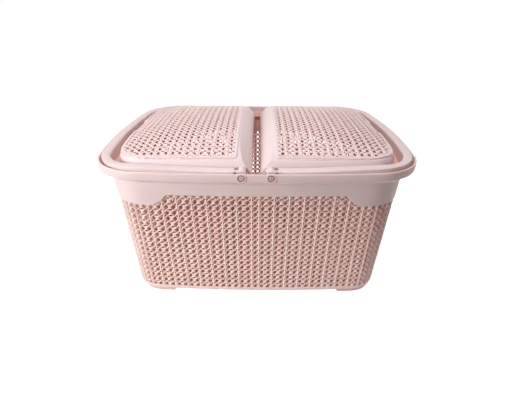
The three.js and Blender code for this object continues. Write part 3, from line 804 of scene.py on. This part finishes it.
def notch(extra):
    inner = SHOULDER_SIDE - SIDE_DRAW - NOTCH_DEPTH - extra
    narrow = NOTCH_HALF + extra
    wide = narrow + (HALF_LENGTH - inner) * NOTCH_FLARE
    outline = [(-inner, -narrow), (-inner, narrow), (-HALF_LENGTH, wide), (-HALF_LENGTH, -wide)]
    return prism("notch", outline, FAR, RIM_TOP + FAR)


def lid_sides(extra, bottom):
    """The skirt, the slope above it and the rounded shoulder, moved in by extra."""
    slope = math.atan2(SHOULDER_INSET - LID_INSET, SHOULDER_Z - SKIRT_TOP)
    shoulder = SHOULDER_INSET + extra / math.cos(slope)
    levels = [
        (LID_INSET + extra, bottom),
        (LID_INSET + extra, SKIRT_TOP - extra * math.tan(slope / 2)),
        (shoulder - SHOULDER_ROUND * math.sin(slope), SHOULDER_Z - SHOULDER_ROUND * math.cos(slope)),
        (shoulder - 0.3, SHOULDER_Z - 0.45),
        (shoulder + 0.45, SHOULDER_Z + 0.02),
        (shoulder + SHOULDER_ROUND, SHOULDER_Z + 0.36),
        (shoulder + SHOULDER_ROUND, RIM_TOP + FAR),
    ]
    rings = rim_rings(levels)
    for ring in rings:
        x = ring[:, 0]
        drawn = smooth_step(np.abs(x), SIDE_DRAW_START, SHOULDER_SIDE)
        ring[:, 0] = x - np.sign(x) * SIDE_DRAW * drawn
    return less(loft("sides", rings), notch(extra))


def panel_edge(y):
    beyond = max(0.0, abs(y) - PANEL_END + PANEL_CORNER)
    return PANEL_INNER + PANEL_CORNER - math.sqrt(PANEL_CORNER ** 2 - beyond ** 2)


def panel_block():
    """The raised panel's block, whose inner side slopes down to the lid's surface."""
    ends = [PANEL_END - PANEL_CORNER * (1 - math.sin(math.radians(turn))) for turn in range(0, 91, 15)]
    along = [-y for y in ends[::-1]] + list(np.linspace(-ends[0], ends[0], 61)[1:-1]) + ends
    rings = []
    for y in along:
        edge = panel_edge(y)
        foot = float(dome_height(edge, y))
        side = [
            (-HALF_LENGTH, RIM_TOP - 1), (PANEL_SLOPE - edge, RIM_TOP - 1),
            (PANEL_SLOPE - edge, foot - 0.1), (-edge, foot + PANEL_HEIGHT),
            (-edge, RIM_TOP + FAR), (-HALF_LENGTH, RIM_TOP + FAR),
        ]
        rings.append(np.array([(x, y, z) for x, z in side]))
    return loft("block", rings)


def panel_space(shrink, low):
    """The space over the raised panel, drawn in on all sides by shrink."""
    inset = PANEL_INSET + shrink
    space = loft("space", rim_rings([(inset, low), (inset, RIM_TOP + FAR)]))
    end, inner = PANEL_END - shrink, PANEL_INNER + shrink
    radius = max(PANEL_CORNER - shrink, 1.0)
    outline = [(-HALF_LENGTH, -end)]
    outline += arc((-inner - radius, radius - end), radius, -90, 0, 6)
    outline += arc((-inner - radius, end - radius), radius, 0, 90, 6)
    outline += [(-HALF_LENGTH, end)]
    within(space, prism("upright", outline, low - 1, RIM_TOP + FAR + 1))
    return less(space, notch(PANEL_INSET - SHOULDER_INSET + shrink))


def lid_frame():
    shell = within(body_under("lid", lid_grid(0.0), FAR), lid_sides(0.0, SEAT))
    space = within(panel_space(-PANEL_SLOPE, RIM_TOP - 1), panel_block())
    raised = within(body_under("raised", lid_grid(-PANEL_HEIGHT), RIM_TOP), space)
    united(shell, raised)
    top = RIM_TOP + FAR
    open_ends = box("ends", (KNUCKLE_RADIUS - PIN_X, -HALF_WIDTH, FAR), (0, HALF_WIDTH, top))
    inner_sides = united(lid_sides(LID_WALL, FAR), open_ends)
    hollow = within(body_under("hollow", lid_grid(LID_WALL), FAR), inner_sides)
    less(shell, hollow, panel_space(PANEL_RING, RIM_TOP - 20))
    side_wall = HALF_WIDTH - LID_INSET
    for side in (-1, 1):
        knuckle = cylinder("knuckle", KNUCKLE_RADIUS, side_wall - KNUCKLE_ROOT, KNUCKLE_OUTER, side)
        united(shell, knuckle)
        less(shell, cylinder("bore", BORE_RADIUS, side_wall - 3, KNUCKLE_OUTER + 1, side))
    return shell


def lid_xy(column, row):
    return -(LID_COLUMN_START + LID_COLUMN * column), (row - (LID_ROWS - 1) / 2) * LID_ROW


def lid_place(column, row, height):
    x, y = lid_xy(column, row)
    step = 0.05
    z = dome_height(-x, y)
    slope_x = (dome_height(-x - step, y) - dome_height(-x + step, y)) / (2 * step)
    slope_y = (dome_height(-x, y + step) - dome_height(-x, y - step)) / (2 * step)
    normal = np.stack([-slope_x, -slope_y, np.ones(len(x))], axis=1)
    normal /= np.linalg.norm(normal, axis=1, keepdims=True)
    lift = (LID_RELIEF * np.minimum(height, LID_CREST) + PANEL_HEIGHT)[:, None]
    return np.stack([x, y, z], axis=1) + normal * lift


def lid_covered(column, row):
    x, y = lid_xy(column, row)
    ends = np.abs(y) - (PANEL_END - PANEL_RING)
    inner = x + PANEL_INNER + PANEL_RING
    outer = PANEL_INSET + PANEL_RING - rim_inset(x, y)
    in_notch = np.abs(y) < NOTCH_HALF + NOTCH_BORDER
    notch_inner = SHOULDER_SIDE - SIDE_DRAW - NOTCH_DEPTH - NOTCH_BORDER
    notched = np.where(in_notch, -x - notch_inner, -FAR)
    return np.maximum.reduce([ends, inner, outer, notched])


def lid_edge_kind(edge):
    return "rib" if round(edge - 0.5) % 2 == 0 else "bead"


def left_lid():
    cells = [(column, row) for column in range(-1, LID_COLUMNS) for row in range(-1, LID_ROWS + 1)]
    knit = knit_mesh("lid_knit", cells, lid_edge_kind, lid_place, lid_covered)
    return lid_frame(), knit


# Handles: the left one, from which the right one is turned

def handle_top(x):
    rise = smooth_step(np.abs(x), RISE_START, RISE_END)
    return RIM_TOP + HANDLE_RISE_PIN + (HANDLE_RISE_SIDE - HANDLE_RISE_PIN) * rise


def handle_section(top, narrowed=0.0):
    """The hollow bail's section, as insets from the rim's outline and heights."""
    outer, inner, wall = HANDLE_OUTER, HANDLE_INNER - narrowed, HANDLE_WALL
    section = [
        (outer, top - HANDLE_SKIRT),
        (outer + wall, top - HANDLE_SKIRT),
        (outer + wall, top - wall),
        (inner - HANDLE_ROUND, top - wall),
    ]
    section += arc((inner - HANDLE_ROUND, top - HANDLE_ROUND), HANDLE_ROUND - wall, 90, 0, 4)[1:]
    section += [(inner - wall, SEAT), (inner, SEAT)]
    section += arc((inner - HANDLE_ROUND, top - HANDLE_ROUND), HANDLE_ROUND, 0, 90, 8)
    section += arc((outer + HANDLE_EDGE, top - HANDLE_EDGE), HANDLE_EDGE, 90, 180, 3)
    return np.array(section)


def handle():
    start = math.asin((PIN_X + ARM_END) / LONG_RADIUS) * LONG_RADIUS
    rings = []
    for x, y, nx, ny in stations(*HANDLE_STEPS, start):
        narrowed = HANDLE_NARROW * smooth_step(abs(nx), NARROW_START, NARROW_END)
        section = handle_section(handle_top(x), narrowed)
        rings.append(np.stack([x - section[:, 0] * nx, y - section[:, 0] * ny, section[:, 1]], axis=1))
    bail = loft("handle", rings)
    top = handle_top(0.0)
    arm_end = -PIN_X - ARM_END
    for side in (-1, 1):
        ends = sorted(side * (HALF_WIDTH - inset) for inset in (HANDLE_OUTER + 1, HANDLE_INNER - 1))
        low = (arm_end - ARM_PLATE, ends[0], top - HANDLE_SKIRT)
        plate = box("plate", low, (arm_end, ends[1], top - 1))
        eye_ends = sorted((side * EYE_INNER, side * EYE_OUTER))
        low = (arm_end - ARM_PLATE - 1, eye_ends[0], PIN_Z - EYE_RADIUS)
        arm = box("arm", low, (-PIN_X, eye_ends[1], top))
        disc = cylinder("disc", EYE_RADIUS, EYE_INNER, EYE_OUTER, side)
        united(bail, plate, united(arm, disc))
        less(bail, cylinder("bore", BORE_RADIUS, EYE_INNER - 1, EYE_OUTER + 1, side))
        less(bail, cylinder(
            "dimple", DIMPLE_RADIUS, EYE_OUTER - DIMPLE_DEPTH, EYE_OUTER + 1, side, 24,
            -PIN_X - DIMPLE_OFFSET, top - DIMPLE_DROP,
        ))
    return bail


# Pins: a head behind the lid's side, a shaft, and a split tip in the lip's counterbore

def pin(name, x, side):
    profile = [
        (PIN_HEAD_RADIUS - PIN_CHAMFER, PIN_HEAD_INNER), (PIN_HEAD_RADIUS, PIN_HEAD_INNER + PIN_CHAMFER),
        (PIN_HEAD_RADIUS, PIN_HEAD_OUTER), (PIN_RADIUS, PIN_HEAD_OUTER),
        (PIN_RADIUS, PIN_BARB_BACK - 0.1), (PIN_BARB_RADIUS, PIN_BARB_BACK),
        (PIN_TIP_RADIUS + 0.05, PIN_BARB_BACK + 0.6), (PIN_TIP_RADIUS, PIN_TIP - PIN_CHAMFER),
        (PIN_TIP_RADIUS - 0.09, PIN_TIP - 0.09), (PIN_TIP_RADIUS - PIN_CHAMFER, PIN_TIP),
    ]
    turn = np.linspace(0, 2 * math.pi, 48, endpoint=False)
    circle = np.stack([np.cos(turn), 0 * turn, np.sin(turn)], axis=1)
    body = loft(name, [(x, side * y, PIN_Z) + radius * circle for radius, y in profile])
    ends = sorted((side * (PIN_TIP - SLIT_DEPTH), side * (PIN_TIP + 1)))
    wide, half = PIN_BARB_RADIUS + 1, SLIT_WIDTH / 2
    for across, up in ((wide, half), (half, wide)):
        less(body, box("slit", (x - across, ends[0], PIN_Z - up), (x + across, ends[1], PIN_Z + up)))
    return body


# Materials

THROUGH_COLOUR = (1.0, 0.4, 0.24)
THROUGH_SHARE = 0.15
# Painted shade: this colour is multiplied in where the recess attribute is set, in hollows, troughs,
# insides and pin pockets.
PAINTED_RECESS_SHADE = (0.88, 0.62, 0.51)
DRIFT_SCALE = 9.0
DRIFT_DETAIL = 3.0
DRIFT_RANGE = (0.3, 0.7)
GRAIN_SCALE = 1400.0
GRAIN_DETAIL = 2.0
GRAIN_STRENGTH = 0.12
GRAIN_HEIGHT = 0.0002
GLOSS_SPREAD = 0.06
SPECULAR_LEVEL = 0.35
BEVEL_SAMPLES = 4

# The colour mix node's sockets: factor, first colour, second colour and result
MIX_FACTOR, MIX_FIRST, MIX_SECOND, MIX_RESULT = 0, 6, 7, 2

# Light colour, deep colour, roughness and edge radius in metres
# The knit finishes are lighter copies of the plastic beside them: painted light for the lit crests of
# the strands.
FINISHES = {
    "tub_plastic": ((0.89, 0.745, 0.725), (0.86, 0.715, 0.695), 0.5, 0.0006),
    "tub_knit_plastic": ((0.98, 0.86, 0.81), (0.96, 0.83, 0.78), 0.45, 0.00015),
    "lid_plastic": ((0.89, 0.77, 0.765), (0.86, 0.74, 0.735), 0.5, 0.0005),
    "lid_knit_plastic": ((0.92, 0.79, 0.78), (0.89, 0.76, 0.75), 0.45, 0.00015),
    "handle_plastic": ((0.86, 0.74, 0.725), (0.83, 0.71, 0.695), 0.45, 0.0006),
    "pin_plastic": ((0.84, 0.70, 0.68), (0.80, 0.66, 0.64), 0.45, 0.0002),
}


def empty_tree(owner):
    owner.use_nodes = True
    owner.node_tree.nodes.clear()
    return owner.node_tree.nodes, owner.node_tree.links


def noise(nodes, links, place, scale, detail):
    texture = nodes.new("ShaderNodeTexNoise")
    texture.inputs["Scale"].default_value = scale
    texture.inputs["Detail"].default_value = detail
    links.new(place.outputs["Object"], texture.inputs["Vector"])
    return texture.outputs["Fac"]


def drift_and_painted_shade(nodes, links, place, light, deep):
    """A faint drift between two colours, with painted shade multiplied in where points lie deep behind
    the outer surface.
    """
    ramp = nodes.new("ShaderNodeValToRGB")
    for element, position, colour in zip(ramp.color_ramp.elements, DRIFT_RANGE, (deep, light)):
        element.position = position
        element.color = (*colour, 1)
    links.new(noise(nodes, links, place, DRIFT_SCALE, DRIFT_DETAIL), ramp.inputs["Fac"])
    recess = nodes.new("ShaderNodeAttribute")
    recess.attribute_name = "recess"
    shade_mix = nodes.new("ShaderNodeMix")
    shade_mix.data_type = "RGBA"
    shade_mix.blend_type = "MULTIPLY"
    shade_mix.inputs[MIX_SECOND].default_value = (*PAINTED_RECESS_SHADE, 1)
    links.new(recess.outputs["Fac"], shade_mix.inputs[MIX_FACTOR])
    links.new(ramp.outputs["Color"], shade_mix.inputs[MIX_FIRST])
    return shade_mix.outputs[MIX_RESULT]


def grained_normal(nodes, links, grain, edge_radius):
    """Softly rounded edges with the grain's fine bumps on them."""
    bevel = nodes.new("ShaderNodeBevel")
    bevel.samples = BEVEL_SAMPLES
    bevel.inputs["Radius"].default_value = edge_radius
    bump = nodes.new("ShaderNodeBump")
    bump.inputs["Strength"].default_value = GRAIN_STRENGTH
    bump.inputs["Distance"].default_value = GRAIN_HEIGHT
    links.new(grain, bump.inputs["Height"])
    links.new(bevel.outputs["Normal"], bump.inputs["Normal"])
    return bump.outputs["Normal"]


def plastic(name, light, deep, roughness, edge_radius):
    """Satin moulded plastic that lets a little warm light through."""
    material = bpy.data.materials.new(name)
    nodes, links = empty_tree(material)
    place = nodes.new("ShaderNodeTexCoord")
    shader = nodes.new("ShaderNodeBsdfPrincipled")
    shader.inputs["Specular IOR Level"].default_value = SPECULAR_LEVEL
    links.new(drift_and_painted_shade(nodes, links, place, light, deep), shader.inputs["Base Color"])
    grain = noise(nodes, links, place, GRAIN_SCALE, GRAIN_DETAIL)
    gloss = nodes.new("ShaderNodeMapRange")
    gloss.inputs["To Min"].default_value = roughness - GLOSS_SPREAD
    gloss.inputs["To Max"].default_value = roughness + GLOSS_SPREAD
    links.new(grain, gloss.inputs["Value"])
    links.new(gloss.outputs["Result"], shader.inputs["Roughness"])
    normal = grained_normal(nodes, links, grain, edge_radius)
    links.new(normal, shader.inputs["Normal"])
    through = nodes.new("ShaderNodeBsdfTranslucent")
    through.inputs["Color"].default_value = (*THROUGH_COLOUR, 1)
    links.new(normal, through.inputs["Normal"])
    mix = nodes.new("ShaderNodeMixShader")
    mix.inputs["Fac"].default_value = THROUGH_SHARE
    links.new(shader.outputs["BSDF"], mix.inputs[1])
    links.new(through.outputs["BSDF"], mix.inputs[2])
    output = nodes.new("ShaderNodeOutputMaterial")
    links.new(mix.outputs["Shader"], output.inputs["Surface"])
    return material


PLASTICS = {name: plastic(name, *finish) for name, finish in FINISHES.items()}


# Assembly on the moving bodies

def dress(obj, finish, body, slot, *nodes):
    obj.data.materials.clear()
    obj.data.materials.append(PLASTICS[finish])
    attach(obj, body)
    if nodes:
        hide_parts(*nodes)


def half_turned(obj, name):
    other = bpy.data.objects.new(name, obj.data.copy())
    other.data.transform(Matrix.Rotation(math.pi, 4, "Z"))
    bpy.context.scene.collection.objects.link(other)
    return other


def build_tub():
    rim = finished(mark_painted_shade(cut_pin_holes(tub_rim()), behind_wall, *WALL_RECESS))
    dress(rim, "tub_plastic", "tub", "tub_plastic", "basket_tub")
    feet = [foot("foot", flip_x, flip_y) for flip_y in (1, -1) for flip_x in (1, -1)]
    base = finished(mark_painted_shade(merged("tub_base", [tub_base(), *feet]), behind_wall, *WALL_RECESS))
    dress(base, "tub_plastic", "tub", "tub_plastic")
    for wall in knit_walls():
        dress(wall, "tub_knit_plastic", "tub", "tub_plastic")


def build_lids():
    shell, knit = left_lid()
    left_shell = finished(mark_painted_shade(shell, behind_lid, *LID_FRAME_RECESS))
    left_knit = finished(mark_painted_shade(knit, behind_lid, *LID_KNIT_RECESS), KNIT_SHARP)
    left_shell.name, left_knit.name = "lid_left_frame", "lid_left_knit"
    right_shell = half_turned(left_shell, "lid_right_frame")
    right_knit = half_turned(left_knit, "lid_right_knit")
    dress(left_shell, "lid_plastic", "left_lid", "lid_plastic", "lid_left")
    dress(left_knit, "lid_knit_plastic", "left_lid", "lid_plastic")
    dress(right_shell, "lid_plastic", "right_lid", "lid_plastic", "lid_right")
    dress(right_knit, "lid_knit_plastic", "right_lid", "lid_plastic")


def build_handles():
    left = finished(handle())
    left.name = "handle_left_bail"
    right = half_turned(left, "handle_right_bail")
    dress(left, "handle_plastic", "left_handle", "handle_plastic", "handle_left")
    dress(right, "handle_plastic", "right_handle", "handle_plastic", "handle_right")


def build_pins():
    for end, side in (("front", -1), ("rear", 1)):
        for hand, x in (("left", -PIN_X), ("right", PIN_X)):
            body = pin(f"snap_pin_{end}_{hand}", x, side)
            piece = finished(mark_painted_shade(body, behind_tip, *TIP_RECESS))
            dress(piece, "pin_plastic", "tub", "pin_plastic", f"pivot_pin_{end}_{hand}")


build_tub()
build_lids()
build_handles()
build_pins()


# Camera at the photograph's viewing angle: place in metres, angles in radians

CAMERA_PLACE = (0.002114, -0.55955, 0.36665)
CAMERA_PITCH = 0.4711
CAMERA_YAW = -0.0058
CAMERA_ROLL = 0.0045
LENS = 26.369
SENSOR_WIDTH = 36.0


def make_camera():
    right = Vector((math.cos(CAMERA_YAW), -math.sin(CAMERA_YAW), 0))
    level = math.cos(CAMERA_PITCH)
    ahead = Vector((level * math.sin(CAMERA_YAW), level * math.cos(CAMERA_YAW), -math.sin(CAMERA_PITCH)))
    up = right.cross(ahead)
    turned_right = right * math.cos(CAMERA_ROLL) + up * math.sin(CAMERA_ROLL)
    turned_up = up * math.cos(CAMERA_ROLL) - right * math.sin(CAMERA_ROLL)
    data = bpy.data.cameras.new("camera")
    data.sensor_width = SENSOR_WIDTH
    data.lens = LENS
    data.clip_start = 0.01
    data.clip_end = 50.0
    camera = bpy.data.objects.new("camera", data)
    basis = Matrix((turned_right, turned_up, -ahead)).transposed().to_4x4()
    basis.translation = Vector(CAMERA_PLACE)
    camera.matrix_world = basis
    bpy.context.scene.collection.objects.link(camera)
    bpy.context.scene.camera = camera


make_camera()


# Floor, sky and lamps, in metres and watts

SKY_LEVEL = 0.12
SKY_COLOUR = (1.0, 0.9, 0.86, 1)
FLOOR_HALF = 6.0
FLOOR_GREYS = (0.90, 0.92)
FLOOR_MOTTLE = 40.0
FLOOR_ROUGHNESS = 0.9

# Near the object the floor's glow is FLOOR_GLOW, and over GLOW_REACH it grows to 1.
# Over FAR_REACH the floor's own colour is dimmed to the share FLOOR_FAR.
FLOOR_GLOW = 0.86
GLOW_REACH = (0.25, 0.5)
FLOOR_FAR = 0.25
FAR_REACH = (0.3, 0.55)

# Name, place, what it points at, side, power and colour
LAMPS = (
    ("overhead", (-0.05, -0.42, 1.3), (0, 0, 0.15), 0.4, 7.8, (0.97, 0.99, 1.0)),
    ("behind", (-0.05, 0.75, 1.0), (0, 0.15, 0.1), 0.5, 4.2, (1.0, 0.98, 0.97)),
    ("right", (1.1, 0.1, 0.26), (0.2, 0, 0.12), 0.3, 1.4, (1.0, 0.98, 0.97)),
    ("left", (-0.62, -0.55, 0.36), (-0.12, -0.1, 0.12), 0.25, 4.3, (0.98, 0.99, 1.0)),
)


def seen_as_white(nodes, links):
    """1 for a ray from the camera, a gloss or through glass, else 0."""
    path = nodes.new("ShaderNodeLightPath")
    first = nodes.new("ShaderNodeMath")
    second = nodes.new("ShaderNodeMath")
    second.use_clamp = True
    links.new(path.outputs["Is Camera Ray"], first.inputs[0])
    links.new(path.outputs["Is Glossy Ray"], first.inputs[1])
    links.new(first.outputs["Value"], second.inputs[0])
    links.new(path.outputs["Is Transmission Ray"], second.inputs[1])
    return second.outputs["Value"]


def smooth_range(nodes, links, distance, reach, near, far):
    """near up to the start of reach and far past its end, joined smoothly."""
    node = nodes.new("ShaderNodeMapRange")
    node.interpolation_type = "SMOOTHSTEP"
    node.inputs["From Min"].default_value = reach[0]
    node.inputs["From Max"].default_value = reach[1]
    node.inputs["To Min"].default_value = near
    node.inputs["To Max"].default_value = far
    links.new(distance, node.inputs["Value"])
    return node.outputs["Result"]


def floor_material():
    """Keeps the shadow, glows to white for the camera and lights the object less from further out."""
    material = bpy.data.materials.new("floor")
    nodes, links = empty_tree(material)
    place = nodes.new("ShaderNodeTexCoord")
    away = nodes.new("ShaderNodeVectorMath")
    away.operation = "LENGTH"
    links.new(place.outputs["Object"], away.inputs[0])
    distance = away.outputs["Value"]
    mottle = nodes.new("ShaderNodeTexNoise")
    mottle.inputs["Scale"].default_value = FLOOR_MOTTLE
    ramp = nodes.new("ShaderNodeValToRGB")
    for element, grey in zip(ramp.color_ramp.elements, FLOOR_GREYS):
        element.color = (grey, grey, grey, 1)
    links.new(mottle.outputs["Fac"], ramp.inputs["Fac"])
    dim = nodes.new("ShaderNodeVectorMath")
    dim.operation = "SCALE"
    links.new(ramp.outputs["Color"], dim.inputs[0])
    links.new(smooth_range(nodes, links, distance, FAR_REACH, 1.0, FLOOR_FAR), dim.inputs["Scale"])
    shader = nodes.new("ShaderNodeBsdfPrincipled")
    shader.inputs["Roughness"].default_value = FLOOR_ROUGHNESS
    shader.inputs["Specular IOR Level"].default_value = 0.0
    links.new(dim.outputs["Vector"], shader.inputs["Base Color"])
    glow = nodes.new("ShaderNodeEmission")
    links.new(smooth_range(nodes, links, distance, GLOW_REACH, FLOOR_GLOW, 1.0), glow.inputs["Strength"])
    both = nodes.new("ShaderNodeAddShader")
    links.new(shader.outputs["BSDF"], both.inputs[0])
    links.new(glow.outputs["Emission"], both.inputs[1])
    mix = nodes.new("ShaderNodeMixShader")
    links.new(seen_as_white(nodes, links), mix.inputs["Fac"])
    links.new(shader.outputs["BSDF"], mix.inputs[1])
    links.new(both.outputs["Shader"], mix.inputs[2])
    output = nodes.new("ShaderNodeOutputMaterial")
    links.new(mix.outputs["Shader"], output.inputs["Surface"])
    return material


def make_floor():
    corners = [(FLOOR_HALF * x, FLOOR_HALF * y, 0) for x, y in ((-1, -1), (1, -1), (1, 1), (-1, 1))]
    mesh = bpy.data.meshes.new("floor")
    mesh.from_pydata(corners, [], [(0, 1, 2, 3)])
    floor = bpy.data.objects.new("floor", mesh)
    floor.data.materials.append(floor_material())
    bpy.context.scene.collection.objects.link(floor)


def make_sky():
    world = bpy.data.worlds.new("sky")
    bpy.context.scene.world = world
    nodes, links = empty_tree(world)
    seen = nodes.new("ShaderNodeBackground")
    seen.inputs["Color"].default_value = (1, 1, 1, 1)
    seen.inputs["Strength"].default_value = 1.0
    lit = nodes.new("ShaderNodeBackground")
    lit.inputs["Color"].default_value = SKY_COLOUR
    lit.inputs["Strength"].default_value = SKY_LEVEL
    mix = nodes.new("ShaderNodeMixShader")
    links.new(seen_as_white(nodes, links), mix.inputs["Fac"])
    links.new(lit.outputs["Background"], mix.inputs[1])
    links.new(seen.outputs["Background"], mix.inputs[2])
    output = nodes.new("ShaderNodeOutputWorld")
    links.new(mix.outputs["Shader"], output.inputs["Surface"])


def make_lamp(name, place, target, side, power, colour):
    data = bpy.data.lights.new(name, "AREA")
    data.shape = "SQUARE"
    data.size = side
    data.energy = power
    data.color = colour
    lamp = bpy.data.objects.new(name, data)
    lamp.location = place
    lamp.rotation_euler = (Vector(target) - Vector(place)).to_track_quat("-Z", "Y").to_euler()
    bpy.context.scene.collection.objects.link(lamp)


make_floor()
make_sky()
for lamp in LAMPS:
    make_lamp(*lamp)
bpy.context.scene.view_settings.view_transform = "Standard"
